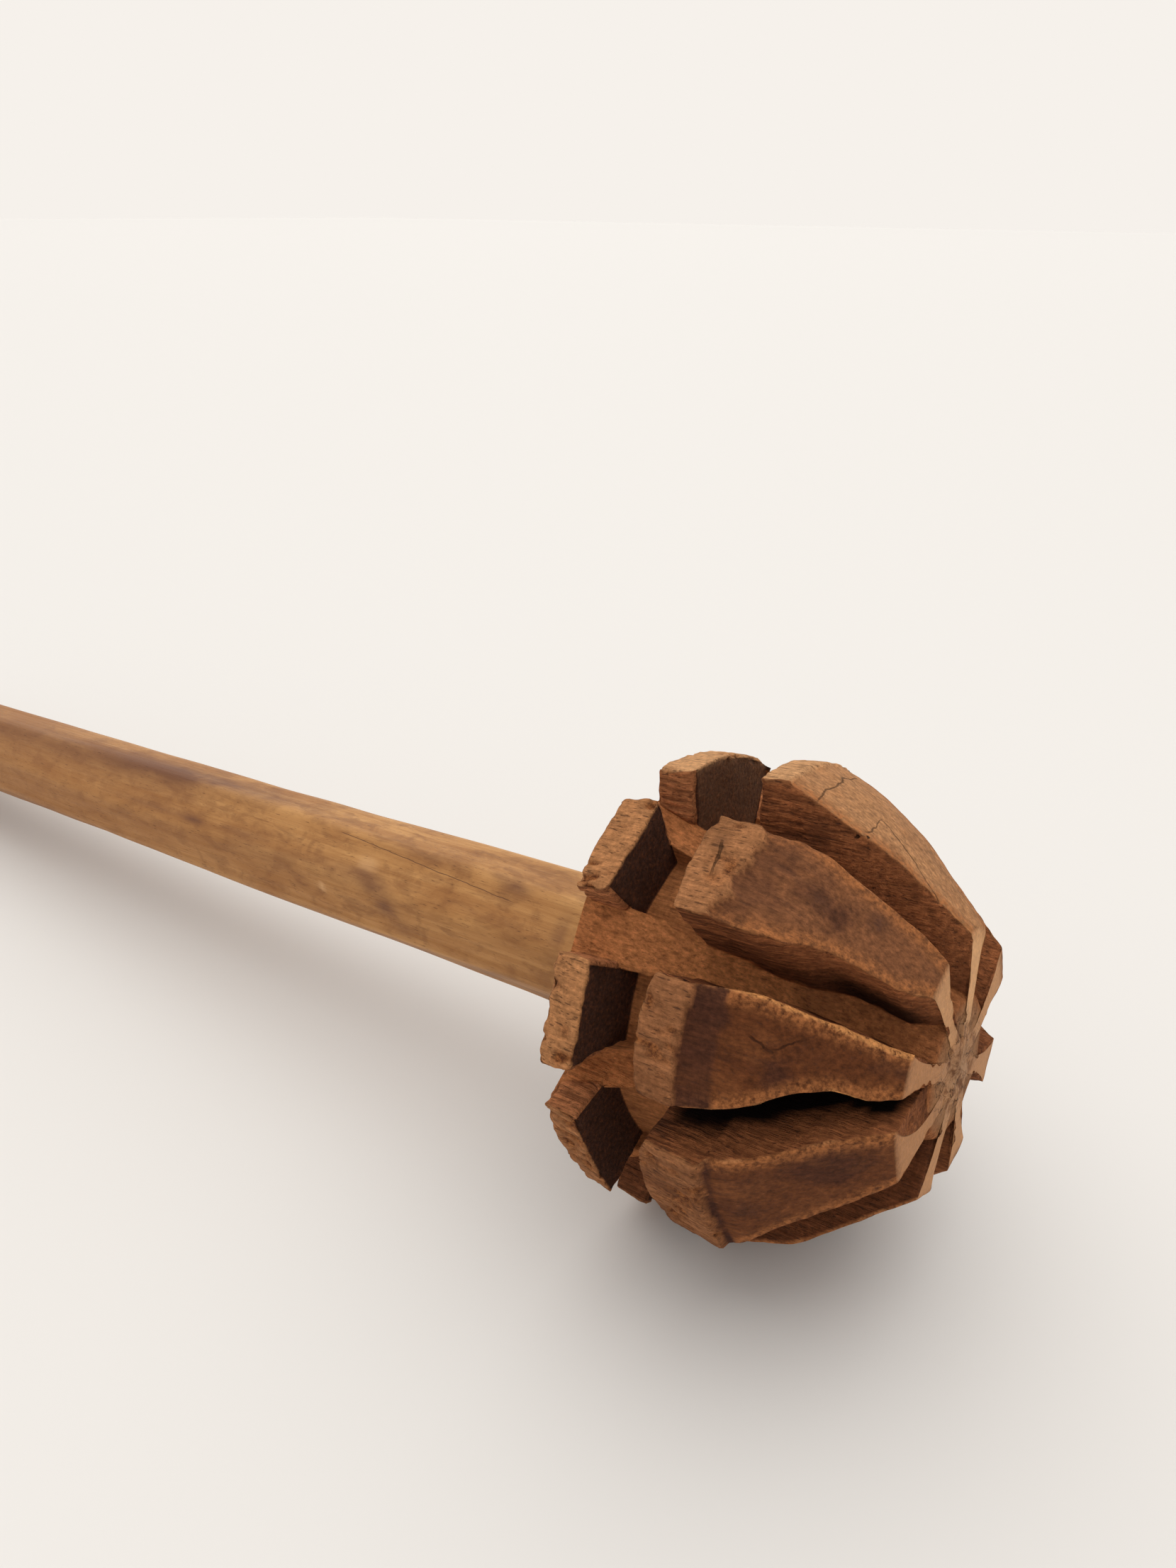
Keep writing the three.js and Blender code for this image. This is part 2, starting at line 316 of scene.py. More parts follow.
def wall_line(lobe, sign, s, height):
    """One wall of a lobe in all rows: its foot's place along the axis, its foot's radius on the channel
    floor, its foot's angle from the lobe's middle, and how far to the side of the middle its corner
    is. The foot is drawn in from the corner by the draft, times the height of the wall."""
    table, block = (lobe["less"], lobe["block"][0]) if sign < 0 else (lobe["more"], lobe["block"][1])
    dome = np.clip((s - LOBE_TIP) / (HUB_PLACE - LOBE_TIP), 0, 1)
    half = np.where(s < GROOVE_MIDDLE, block, np.interp(s, EDGE_ALONG, table))
    half = np.where(dome > 0, SPOKE_HALF + (table[-1] - SPOKE_HALF) * (1 - dome) ** 3, half)
    half = half - rounded(np.clip(inside_ends(s), 0, 1), END_ROUNDING)
    here = np.where(dome > 0, np.interp(dome, DOME_SHARES, DOME_PLACES), s) + face_shift(lobe, s, sign)
    floor = np.where(dome > 0, np.interp(dome, DOME_SHARES, DOME_FLOORS), FLOOR_REAR + FLOOR_SLOPE * here)
    middle, _ = facet_reach(lobe, s, np.zeros_like(s), 0.0)
    foot = np.maximum(half - (middle - floor) * np.tan(WALL_DRAFT), LEAST_FOOT)
    angle = sign * np.arcsin(np.clip(foot / floor, 0, 0.9))
    corner = between(floor * np.sin(FOOT_SHARE * angle), sign * half, np.maximum(height, 0))
    return here, floor, angle, corner


def strip(kind, lobe, s, place, worn=0.0, ahead=0.0, depth=0.0, inside=0.0):
    """A strip of columns: places along, across and up, what part of which lobe it is, how worn it is, how
    far ahead of the step, how far down a wall (less than 0 on the first wall), and how far inside the
    nearest edge."""
    values = dict(s=s, y=place[0], z=place[1], kind=kind, lobe=lobe)
    values |= dict(worn=worn, ahead=ahead, depth=depth, inside=inside)
    return dict(zip(values, np.broadcast_arrays(*values.values())))


# Rows of more than this height count as full ones, where corners are worn. The wear of a corner fades out
# over the top twentieth of its wall. The groove's floor is flatter than a circle and sinks to the front.
FULL_HEIGHT, WEAR_FADE, GROOVE_ROUND, GROOVE_SLOPE = 0.98, 20, 0.5, 0.08


def lobe_strips(number, s, height):
    """One lobe's columns for all rows: up one wall, over the outer facet and down the other wall. A wall
    runs from its foot on the channel floor to its corner. Returns the three strips, and the feet of
    both walls."""
    lobe = LOBES[number]
    lean = np.radians(lobe["turn"] + LOBE_LEAN * np.clip(s, 0, LOBE_TIP) / LOBE_TIP)
    walls = [wall_line(lobe, sign, s, height) for sign in (-1, 1)]
    (_, floor0, _, corner0), (_, floor1, _, corner1) = walls
    width0, width1 = edge_wear(number, -1, s), edge_wear(number, 1, s)

    def outer(side, share, ring, sunk):
        """The facet's reach with its corners worn off, blended with the floor and the groove by the row's
        height."""
        top, ahead = facet_reach(lobe, s, side, share)
        width = np.where(side < 0, width0, width1)
        beside = np.where(side < 0, side - corner0, corner1 - side)
        ends = np.maximum(inside_ends(s), 0)
        worn = np.maximum(np.maximum(width - beside, np.minimum(width, END_WEAR) - ends), 0)
        worn = worn * (s <= LOBE_TIP) * (height > FULL_HEIGHT)
        target = np.where(height > 0, top - worn, sunk)
        marks = dict(worn=worn, ahead=ahead, inside=np.minimum(beside, ends))
        return between(ring, target, np.abs(height)), marks

    facet = eased(FACET_COLUMNS, 0.8)
    side = between(corner0, corner1, facet)
    share = np.where(side < 0, side / -corner0, side / corner1)
    ring = np.sqrt(np.maximum(between(floor0, floor1, facet) ** 2 - side**2, 0))
    notch = lobe["notch"]
    sunk = notch - GROOVE_ROUND * (notch - np.sqrt(np.maximum(notch**2 - side**2, 0)))
    sunk = sunk - GROOVE_SLOPE * (s - BLOCK_FRONT)
    reach, marks = outer(side, share, ring, sunk)
    strips = [strip(ON_FACET, number, s + face_shift(lobe, s, share), turned(lean, reach, side), **marks)]
    for sign, (here, floor, angle, corner) in zip((-1, 1), walls):
        edge_ring = np.sqrt(np.maximum(floor**2 - corner**2, 0))
        top_reach, marks = outer(corner, sign, edge_ring, sunk[:, :1] if sign < 0 else sunk[:, -1:])
        up = eased(WALL_COLUMNS) if sign < 0 else 1 - eased(WALL_COLUMNS)
        along = between(here, s + face_shift(lobe, s, sign), up)
        reach = between(floor * np.cos(angle), top_reach, up)
        side = between(floor * np.sin(angle), corner, up)
        worn = np.maximum(marks["worn"] * (1 - (1 - up) * WEAR_FADE), 0)
        wall = strip(ON_WALL, number, along, turned(lean, reach, side), worn=worn, depth=sign * (1 - up))
        strips.insert(0 if sign < 0 else 2, wall)
    return strips, [(here, floor, lean + angle) for here, floor, angle, _ in walls]


# How deep a channel's scoop is, as a share, at places along it, and how deep the floor dips between the
# spokes
SCOOP_PLACES, SCOOP_SHARES, SPOKE_DIP = (0, 8, 30, LOBE_TIP), (1, 0.9, 0.5, 0), 1.5


def carved_surface():
    """The head's grid: one row for each station and, for each lobe, columns up one wall, over the outer
    facet, down the other wall and along the channel floor to the next lobe. A channel is scooped by
    half a sine wave. Returns the points, the rows' places and heights, and the marks of the strips."""
    s, height = station_rows()
    lobes = [lobe_strips(number, s, height) for number in range(len(LOBES))]
    channel = eased(CHANNEL_COLUMNS)[None, :]
    strips = []
    for number, (lobe, feet) in enumerate(lobes):
        s0, radius0, angle0 = feet[1]
        s1, radius1, angle1 = lobes[(number + 1) % len(LOBES)][1][0]
        full_turn = 2 * np.pi * (number == len(LOBES) - 1)
        smooth = smoothstep(channel, 0, 1)
        scoop = LOBES[number]["deep"] * np.interp(s, SCOOP_PLACES, SCOOP_SHARES)
        scoop = scoop + SPOKE_DIP * smoothstep(s, LOBE_TIP, HUB_PLACE)
        radius = between(radius0, radius1, smooth) - scoop * np.sin(np.pi * channel)
        place = turned(between(angle0, angle1 + full_turn, channel), radius)
        strips += [*lobe, strip(ON_FLOOR, number + 0.5, between(s0, s1, smooth), place, depth=1.0)]
    zones = {name: np.concatenate([part[name] for part in strips], 1) for name in strips[0]}
    points = np.stack([zones.pop(name) for name in ("s", "y", "z")], -1)
    return points, s, height, zones


def softened(grid):
    """The grid with each point moved half of the way to its four neighbours' mean."""
    around = np.roll(grid, 1, 1) + np.roll(grid, -1, 1)
    mean = (around[1:-1] + grid[2:] + grid[:-2]) / 4
    return np.concatenate([grid[:1], grid[1:-1] + 0.5 * (mean - grid[1:-1]), grid[-1:]])


def grid_normals(grid):
    """Unit normals of a grid that closes round its columns: the cross product of the steps along and
    across it."""
    across = np.roll(grid, -1, 1) - np.roll(grid, 1, 1)
    along = np.gradient(grid, axis=0)
    normal = np.cross(across, along)
    return normal / np.maximum(np.linalg.norm(normal, axis=-1, keepdims=True), 1e-9)


# The socket and the rear face, from the axis outwards: place along the axis and radius
SOCKET_DEPTH, SOCKET_RADIUS = 29.0, 8.3
REAR_PROFILE = (
    (SOCKET_DEPTH, 0.0), (SOCKET_DEPTH, 4.0), (SOCKET_DEPTH, SOCKET_RADIUS), (14.0, SOCKET_RADIUS),
    (0.3, SOCKET_RADIUS), (0.0, 8.6), (0.0, 12.0), (0.0, 17.0), (0.0, 22.0), (0.0, 26.0),
)

# The hub: each row's share of the last row's radius, its lumps, and how far it swells out in the middle
HUB_SHARES = np.array((0.9, 0.75, 0.6, 0.45, 0.3, 0.15, 0.0))[:, None]
HUB_LUMPS = (((1, 2.4, 2.4), 41, 0.9), ((1, 0.9, 0.9), 42, 0.36))
HUB_SWELL, HUB_FADE = 0.25, 6


def with_rear_and_nose(grid):
    """The grid with its inner rows added: the socket and the rear face, which are the first row drawn in
    towards the axis, and the hub, which is the last row drawn in to a point, with lumps that fade out
    at its rim."""
    first, last = grid[0], grid[-1]
    outer = np.linalg.norm(first[:, 1:], axis=-1)
    rear = []
    for s, radius in REAR_PROFILE:
        lift = first[:, 0] * (radius / outer) ** 6 * (s == 0)
        rear.append(np.column_stack([s + lift, first[:, 1:] / outer[:, None] * radius]))
    hub = last * points_of(1.0, HUB_SHARES, HUB_SHARES)
    lumps = unevenness(hub * (0, 1, 1), *HUB_LUMPS)
    hub[..., 0] += HUB_SWELL * (1 - HUB_SHARES) + lumps * np.minimum(1, HUB_FADE * (1 - HUB_SHARES))
    return np.concatenate([rear, grid, hub])


def in_vertex_order(grid):
    """A grid's values as one row. The first and last rows are poles, and each is drawn together at its
    mean."""
    inner = grid[1:-1].reshape(-1, *grid.shape[2:])
    return np.concatenate([grid[:1].mean(1), inner, grid[-1:].mean(1)])


def grid_mesh(name, grid, place):
    """A closed mesh from a grid whose columns go round and whose first and last rows are its poles: a fan
    of triangles round each pole and four-sided faces between."""
    rows, columns = grid.shape[:2]
    index = 1 + np.arange((rows - 2) * columns).reshape(rows - 2, columns)
    right = np.roll(index, -1, 1)
    quads = np.stack([index[:-1], right[:-1], right[1:], index[1:]], -1).reshape(-1, 4)
    first_fan = np.stack([np.zeros(columns, int), right[0], index[0]], -1)
    last_fan = np.stack([np.full(columns, index[-1, -1] + 1), index[-1], right[-1]], -1)
    faces = quads.tolist() + first_fan.tolist() + last_fan.tolist()
    mesh = bpy.data.meshes.new(name)
    mesh.from_pydata(place(in_vertex_order(grid)).tolist(), [], faces)
    mesh.polygons.foreach_set("use_smooth", np.ones(len(mesh.polygons), bool))
    piece = bpy.data.objects.new(name, mesh)
    bpy.context.scene.collection.objects.link(piece)
    return piece


mounts = {mount["name"]: np.array(mount["pos_m"]) for mount in frame["record"]["mounts"]}
axis = mounts["nose_rest"] - mounts["butt_end"]
axis /= np.linalg.norm(axis)
level_up = np.cross(axis, (0.0, 1.0, 0.0))
level_up /= np.linalg.norm(level_up)
across_axis = np.cross(level_up, axis)
head_up = level_up * np.cos(REST_ROLL) + across_axis * np.sin(REST_ROLL)
head_side = np.cross(head_up, axis)
rear_face = mounts["nose_rest"] - HEAD_LENGTH * MM * axis


def along_axis(local):
    """Points of the churner's own frame, in millimetres, in the part's frame, in metres."""
    return rear_face + MM * (local @ np.stack([axis, head_side, head_up]))


def paint(mesh, name, *masks):
    """Stores up to three masks from 0 to 1, one value for each vertex, as the channels of a colour
    attribute."""
    values = np.zeros((len(mesh.vertices), 4), np.float32)
    values[:, 3] = 1
    for channel, mask in enumerate(masks):
        values[:, channel] = in_vertex_order(mask)
    mesh.attributes.new(name, "FLOAT_COLOR", "POINT").data.foreach_set("color", values.ravel())


# Marks of the tools and the grain: cell size, seed and strength of each layer, how deep they go, and how
# they fade over the nose
FACET_LUMPS = (((9, 5, 5), 1, 1.0), ((3.4, 2, 2), 2, 0.6), ((1.5, 1, 1), 6, 0.3))
WALL_LUMPS = (((7, 2.2, 2.2), 3, 1.0), ((4, 0.9, 0.9), 4, 0.5))
FIBRE_LUMPS = (((2.6, 0.8, 0.8), 5, 1.0),)
FACET_DEPTH, WALL_DEPTH, FIBRE_DEPTH, TORN_DEPTH = 0.34, 0.36, 0.3, 0.5
NOSE_FADE = (42.5, LOBE_TIP, HUB_PLACE), (1, 0.5, 0.2)

carved, row_place, row_height, zones = carved_surface()
carved = softened(carved)
facet_noise = unevenness(carved, *FACET_LUMPS)
wall_noise = unevenness(carved, *WALL_LUMPS)
fibre_noise = unevenness(carved, *FIBRE_LUMPS)
is_floor, is_wall, is_facet = (zones["kind"] == kind for kind in (ON_FLOOR, ON_WALL, ON_FACET))
raised = row_height > 0.9
band = (1 - smoothstep(zones["ahead"], -0.2, 0.15)) * (is_facet & raised)
relief = np.where(is_wall, WALL_DEPTH * wall_noise + FIBRE_DEPTH * fibre_noise, FACET_DEPTH * facet_noise)
relief = relief + band * FIBRE_DEPTH * fibre_noise
relief *= np.interp(row_place, *NOSE_FADE)

# On the rear bands and a little on the walls, the wood is torn out in small pits: their cell size, seed,
# level and strength, and the cell size and seed of the areas that have them
PIT_CELL, PIT_SEED, PIT_LEVEL, PIT_STRENGTH = (1.9, 0.9, 0.9), 7, 0.52, 4
AREA_CELL, AREA_SEED, WALL_SHARE = (6, 4, 4), 8, 0.35
torn = np.clip(value_noise(carved, PIT_CELL, PIT_SEED) - PIT_LEVEL, 0, 1)
torn = torn * smoothstep(value_noise(carved, AREA_CELL, AREA_SEED), 0.35, 0.6)
torn = PIT_STRENGTH * torn * (band + WALL_SHARE * is_wall * raised)
carved = carved + grid_normals(carved) * (relief - TORN_DEPTH * torn)[..., None]

# Masks of what each place is: sawn end grain, walls, floors, the nose, and the facets in front of the
# rear bands
which, worn = zones["lobe"], zones["worn"]
sawn = (np.abs(row_height) < FULL_HEIGHT) & (row_place > 5)
end_grain = np.where(sawn & ~is_floor, np.where(row_place < GROOVE_MIDDLE, 1.0, 0.85), 0)
end_grain = end_grain * np.where(which == 0, 0.8, 1)
groove = (row_height < -FULL_HEIGHT) & ~is_floor
wall = is_wall * 1.0 * (end_grain == 0) * ~groove
bottom = is_floor + 0.8 * groove
nose_start = np.where(is_wall, smoothstep(row_place, 43.85, 44.05), 1)
nose_start = np.where(is_floor, smoothstep(row_place, 43.6, 43.95), nose_start)
nose = smoothstep(row_place, 43.3, 43.5) * nose_start
ahead = (is_facet & raised) * (1 - band)
# A painted highlight: an orange rim along the facets' edges, ahead of the rear bands
rim_highlight = ahead * (1 - smoothstep(zones["inside"], 0.3, 2.6))
edge = smoothstep(worn, 0.02, 0.3)
# The broken strip of the third lobe's upper edge: fresh wood, and partly a painted highlight
fresh_and_highlight = (which == BROKEN_LOBE) * (carved[..., 2] > 0)
fresh_and_highlight = fresh_and_highlight * smoothstep(worn, 0.15, 0.3) * smoothstep(row_place, 24, 27)

# Plum-dark swells on the second and third lobes. On the fourth lobe the dark strip just ahead of the step
# is painted shadow of the step's riser.
plum_and_riser_shade = ahead * (
    (which == 1) * 0.5 * (1 - smoothstep(row_place + 8 * facet_noise, 24.5, 26.5))
    + (which == 2) * (1 - smoothstep(row_place + 3 * facet_noise, 25.0, 26.0))
    + (which == 3) * 1.2 * (1 - smoothstep(zones["ahead"], 0.5, 1.3))
)

# How pale each lobe and each block is: partly bleached wood and partly painted light, with the top lobe and
# block lightest and the lobes that face the camera darkest
LOBE_BLEACH_AND_LIGHT = (1.0, 0.5, 0.0, 0.08, 0.3, 0.35, 0.25, 0.4)
BLOCK_BLEACH_AND_LIGHT = (1.0, 0.75, 0.8, 0.5, 0.5, 0.35, 0.25, 0.6)
bleach_and_light_tones = [np.interp(which, range(len(LOBES)), values) for values in (BLOCK_BLEACH_AND_LIGHT, LOBE_BLEACH_AND_LIGHT)]
bleach_and_light_tones = np.where(row_place < GROOVE_MIDDLE, *bleach_and_light_tones) * is_facet

# The deep channel between the third and fourth lobes is painted black as the shade that the third lobe
# casts, and this painted shade comes further up the fourth lobe's wall towards its two ends. The undercut
# of the second lobe's lower wall is painted dark as shade too.
SHADE_PLACES, SHADE_LINE = (15, 21, 27, 32, 36, 41), (0.42, 0.36, 0.5, 0.62, 0.55, 0.4)
depth = np.abs(zones["depth"])
shade_line = np.interp(row_place, SHADE_PLACES, SHADE_LINE)
painted_shade = smoothstep(depth + 0.12 * wall_noise, shade_line - 0.05, shade_line + 0.06)
painted_shade = np.where((which == 3) & (zones["depth"] < 0), painted_shade, 0)
painted_shade = np.where((which == 2.5) | ((which == 2) & is_wall & (zones["depth"] > 0.1)), 1.0, painted_shade)
painted_shade = painted_shade * smoothstep(row_place, 15.5, 18.5) * (1 - smoothstep(row_place, 41.5, 43.0))
# Painted shade in the undercut of the second lobe's lower wall
undercut = smoothstep(zones["depth"] + 0.25 * wall_noise, 0.35, 0.75)
undercut = undercut * smoothstep(row_place, 28.5, 33) * (1 - smoothstep(row_place, 40, 42.5))
painted_shade = np.maximum(painted_shade, 0.85 * ((which == 1) & is_wall) * undercut)

# Dark patches: place along, across and up, radius, and strength. A patch falls off as exp(-d^4) from its
# middle.
PATCHES = [
    ((28.9, -11.0, 12.4), 3.2, 0.45), ((35.7, -8.7, 23.4), 1.5, 0.8), ((30.0, -12.7, 26.7), 1.4, 0.6),
    ((16.5, -29.5, 0.5), 2.2, 0.9), ((28.3, -27.5, -10.4), 1.5, 0.5), ((15.9, -12.5, 31.2), 1.3, 0.4),
    ((23.5, -1.0, 29.0), 2.0, 0.5),
]
patched = sum(
    strength * np.exp(-(((carved - np.array(centre)) ** 2).sum(-1) / radius**2) ** 2)
    for centre, radius, strength in PATCHES
)

# The walls of the fifth lobe lie in the shade of the fourth and are painted darker as shade
shaded = 1.0 * ((which == 4) & is_wall)


def whole(mask, rear_value=0.0, hub_value=0.0):
    """A mask of the carved rows with its values for the rows of the socket and rear face and of the
    hub."""
    rear = np.full((len(REAR_PROFILE), mask.shape[1]), rear_value)
    return np.concatenate([rear, mask, np.full((len(HUB_SHARES), mask.shape[1]), hub_value)])


head = grid_mesh("carved_head", with_rear_and_nose(carved), along_axis)
paint(head.data, "zone", whole(wall), whole(bottom), whole(end_grain, rear_value=0.45))
paint(head.data, "finish", whole(band), whole(edge), whole(nose, hub_value=1.0))
paint(head.data, "mark", whole(plum_and_riser_shade), whole(fresh_and_highlight), whole(bleach_and_light_tones))
# How far down the walls, the painted shade of the deep channel and the undercut, and the dark patches
paint(head.data, "painted_shade", whole(depth), whole(painted_shade), whole(np.clip(patched, 0, 1)))
paint(head.data, "margin", whole(rim_highlight), whole(np.clip(torn, 0, 1)), whole(shaded))


def add(tree, kind, inputs=None, **settings):
    """A node with its settings, and its inputs linked to sockets or given values."""
    node = tree.nodes.new(kind)
    for name, value in settings.items():
        setattr(node, name, value)
    for name, value in (inputs or {}).items():
        if isinstance(value, bpy.types.NodeSocket):
            tree.links.new(value, node.inputs[name])
        else:
            node.inputs[name].default_value = value
    return node


def mixed(tree, factor, first, second, mode="MIX"):
    """The second colour over the first, by the factor. A colour is a socket or three values."""
    first, second = ((*colour, 1.0) if isinstance(colour, tuple) else colour for colour in (first, second))
    inputs = {0: factor, 6: first, 7: second}
    return add(tree, "ShaderNodeMix", inputs, data_type="RGBA", blend_type=mode).outputs[2]


def layered(tree, colour, *layers):
    """A colour with others laid over it, each by its own factor."""
    for factor, layer in layers:
        colour = mixed(tree, factor, colour, layer)
    return colour


def remapped(tree, value, low, high, to_low=0.0, to_high=1.0):
    """The value carried from one range to another and kept inside it."""
    return add(tree, "ShaderNodeMapRange", {0: value, 1: low, 2: high, 3: to_low, 4: to_high}).outputs[0]


def worked(tree, operation, *values):
    """What an operation makes of one value or two."""
    return add(tree, "ShaderNodeMath", dict(enumerate(values)), operation=operation).outputs[0]


def times(tree, first, second):
    """Two values multiplied."""
    return worked(tree, "MULTIPLY", first, second)


def measured(tree, operation, *vectors):
    """The number that an operation makes of one vector or two."""
    return add(tree, "ShaderNodeVectorMath", dict(enumerate(vectors)), operation=operation).outputs[1]


def cloudy(tree, vector, scale, detail, roughness, distortion=0.0):
    """Noise at a scale in cells to the millimetre."""
    inputs = {"Vector": vector, "Scale": scale, "Detail": detail, "Roughness": roughness}
    inputs["Distortion"] = distortion
    return add(tree, "ShaderNodeTexNoise", inputs).outputs[0]


def stretched(tree, vector, factors):
    """Coordinates multiplied by a factor each."""
    return add(tree, "ShaderNodeMapping", {"Vector": vector, "Scale": factors}).outputs[0]


def grainy(tree, place, along, *settings):
    """Noise drawn out along the grain, where a millimetre counts for only this much."""
    return cloudy(tree, stretched(tree, place, (along, 1, 1)), *settings)


def from_axis(tree, place):
    """Distance from the axis."""
    return measured(tree, "LENGTH", stretched(tree, place, (0, 1, 1)))


def masks(tree, name):
    """The three masks of a colour attribute."""
    colour = add(tree, "ShaderNodeAttribute", attribute_name=name).outputs["Color"]
    return add(tree, "ShaderNodeSeparateColor", {"Color": colour}).outputs[:3]


def carver_coordinates(tree):
    """Object coordinates turned to the head's axis, in millimetres from its rear face: along, across and
    up."""
    turn = Matrix([axis, head_side, head_up])
    move = -(turn @ Vector(rear_face)) / MM
    inputs = {"Location": move, "Rotation": turn.to_euler(), "Scale": (1 / MM,) * 3}
    place = add(tree, "ShaderNodeTexCoord").outputs["Object"]
    return add(tree, "ShaderNodeMapping", {"Vector": place, **inputs}).outputs[0]


def material(name):
    """A new material, its node tree and its shader."""
    made = bpy.data.materials.new(name)
    made.use_nodes = True
    return made, made.node_tree, made.node_tree.nodes["Principled BSDF"]


def bumped(tree, shader, height, strength, distance):
    """Gives the shader a bump of this many metres."""
    bump = add(tree, "ShaderNodeBump", {"Strength": strength, "Distance": distance, "Height": height})
    tree.links.new(bump.outputs[0], shader.inputs["Normal"])


head_wood, tree, shader = material("head_wood")
place = carver_coordinates(tree)
fibre = grainy(tree, place, 0.07, 1.9, 6.0, 0.65)
pores = grainy(tree, place, 0.16, 3.4, 2.0, 0.5)
rings = grainy(tree, place, 0.12, 0.23, 3.0, 0.55, 0.8)
blotch = grainy(tree, place, 0.6, 0.11, 5.0, 0.62, 0.4)
lines = grainy(tree, place, 0.06, 1.3, 5.0, 0.7, 0.3)
grit = cloudy(tree, place, 1.3, 5.0, 0.7)
along_head = add(tree, "ShaderNodeSeparateXYZ", {0: place}).outputs[0]
out_from_middle = from_axis(tree, place)
wall_mask, floor_mask, end_mask = masks(tree, "zone")
band_mask, edge_mask, nose_mask = masks(tree, "finish")
plum_and_riser_shade_mask, fresh_and_highlight_mask, bleach_and_light_tone = masks(tree, "mark")
# How far down the walls, the painted shade of the deep channel and the undercut, and the dark patches
down_wall, painted_shade_mask, patch_mask = masks(tree, "painted_shade")
rim_highlight_mask, torn_mask, shade_mask = masks(tree, "margin")


def grooved(tree, place, turn, first, last, width, wander):
    """A fine dark line between two places (along, side), as a mask: near the line, between its ends, and
    on the side of the axis that this turn faces. It wanders this far to each side, with noise."""
    lean = np.radians(turn)
    outwards = np.array((0, -np.sin(lean), np.cos(lean)))
    start, end = (np.array((s, -np.cos(lean) * side, -np.sin(lean) * side)) for s, side in (first, last))
    length = np.linalg.norm(end - start)
    forward = (end - start) / length
    across = np.cross(forward, outwards)
    run = worked(tree, "SUBTRACT", measured(tree, "DOT_PRODUCT", place, forward), start @ forward)
    gap = worked(tree, "SUBTRACT", measured(tree, "DOT_PRODUCT", place, across), start @ across)
    wandering = remapped(tree, cloudy(tree, place, 0.22, 3.0, 0.55), 0.2, 0.8, -wander, wander)
    gap = worked(tree, "ADD", gap, wandering)
    near = remapped(tree, worked(tree, "ABSOLUTE", gap), 0.5 * width, 1.3 * width, 1, 0)
    within = times(tree, remapped(tree, run, 0, 0.8), remapped(tree, run, length - 1.5, length, 1, 0))
    facing = worked(tree, "GREATER_THAN", measured(tree, "DOT_PRODUCT", place, outwards), 5.0)
    return times(tree, times(tree, near, within), facing)


def bored(tree, place, centre, radius):
    """A small dark hole with a ragged rim, as a mask."""
    ragged = remapped(tree, cloudy(tree, place, 1.6, 2.0, 0.6), 0.3, 0.7, -0.7 * radius, 0.7 * radius)
    far = worked(tree, "ADD", measured(tree, "DISTANCE", place, centre), ragged)
    return remapped(tree, far, 0.8 * radius, 1.2 * radius, 1, 0)


# Drying cracks and marks of the knife: the lobe, the line's first and last places (along, side), and its
# width. They are left off the walls, floors and nose. The few insect holes have a place and a radius.
CRACK_WANDER = 0.7
CRACKS = [
    (0, (23.2, 10.0), (22.1, -5.7), 0.13), (0, (28.8, 3.0), (41.4, 5.4), 0.12),
    (0, (29.6, 8.5), (29.3, 1.8), 0.1), (1, (16.3, -3.7), (17.1, 1.9), 0.2),
    (2, (27.2, -2.6), (30.8, -0.8), 0.16), (2, (30.2, -0.9), (33.4, -3.2), 0.14),
    (7, (24.0, -4.0), (30.0, -2.0), 0.12),
]
HOLES = [
    ((28.9, -0.2, 30.0), 0.3), ((30.1, 0.3, 30.0), 0.26),
    ((18.9, -25.4, 18.7), 0.8), ((17.6, -25.0, 19.6), 0.5),
]
opened = 0.0
for number, first, last, width in CRACKS:
    turn = LOBES[number]["turn"] + LOBE_LEAN * (first[0] + last[0]) / 2 / LOBE_TIP
    opened = worked(tree, "MAXIMUM", opened, grooved(tree, place, turn, first, last, width, CRACK_WANDER))
elsewhere = worked(tree, "ADD", worked(tree, "ADD", wall_mask, nose_mask), floor_mask)
opened = times(tree, opened, times(tree, worked(tree, "SUBTRACT", 1.0, elsewhere), 0.7))
for hole in HOLES:
    opened = worked(tree, "MAXIMUM", opened, bored(tree, place, *hole))

# The middle of the nose is crazed: a crack runs wherever the noise passes one level
level = worked(tree, "SUBTRACT", cloudy(tree, place, 0.3, 3.0, 0.55), 0.47)
crazed = remapped(tree, worked(tree, "ABSOLUTE", level), 0.003, 0.009, 0.8, 0.0)
crazed = times(tree, crazed, times(tree, nose_mask, remapped(tree, out_from_middle, 6.0, 10.0, 1.0, 0.0)))
opened = worked(tree, "MAXIMUM", opened, crazed)

# Colours of the bands, the facets, the walls and floors, the earth and the painted shade, the cracks and
# the nose, and of the rubbed edges and the painted highlights
TAN, OCHRE, CHALKY = (0.35, 0.145, 0.061), (0.54, 0.245, 0.1), (0.66, 0.35, 0.165)
BROWN, PALE, BLEACHED_AND_LIT = (0.115, 0.036, 0.0125), (0.2, 0.078, 0.033), (0.41, 0.2, 0.088)
PLUM, ORANGE, FRESH_AND_HIGHLIGHT = (0.055, 0.02, 0.0125), (0.34, 0.125, 0.042), (0.5, 0.215, 0.072)
WALL, FLOOR, TORN = (0.47, 0.165, 0.063), (0.7, 0.262, 0.092), (0.66, 0.255, 0.105)
EARTH_AND_SHADE, END, CRACK_AND_SHADE_BLACK = (0.15, 0.05, 0.021), (0.072, 0.031, 0.02), (0.008, 0.003, 0.002)
NOSE, DULL, GREYED = (0.68, 0.365, 0.17), (0.45, 0.215, 0.095), (0.4, 0.22, 0.115)
RUBBED = (0.38, 0.165, 0.065)

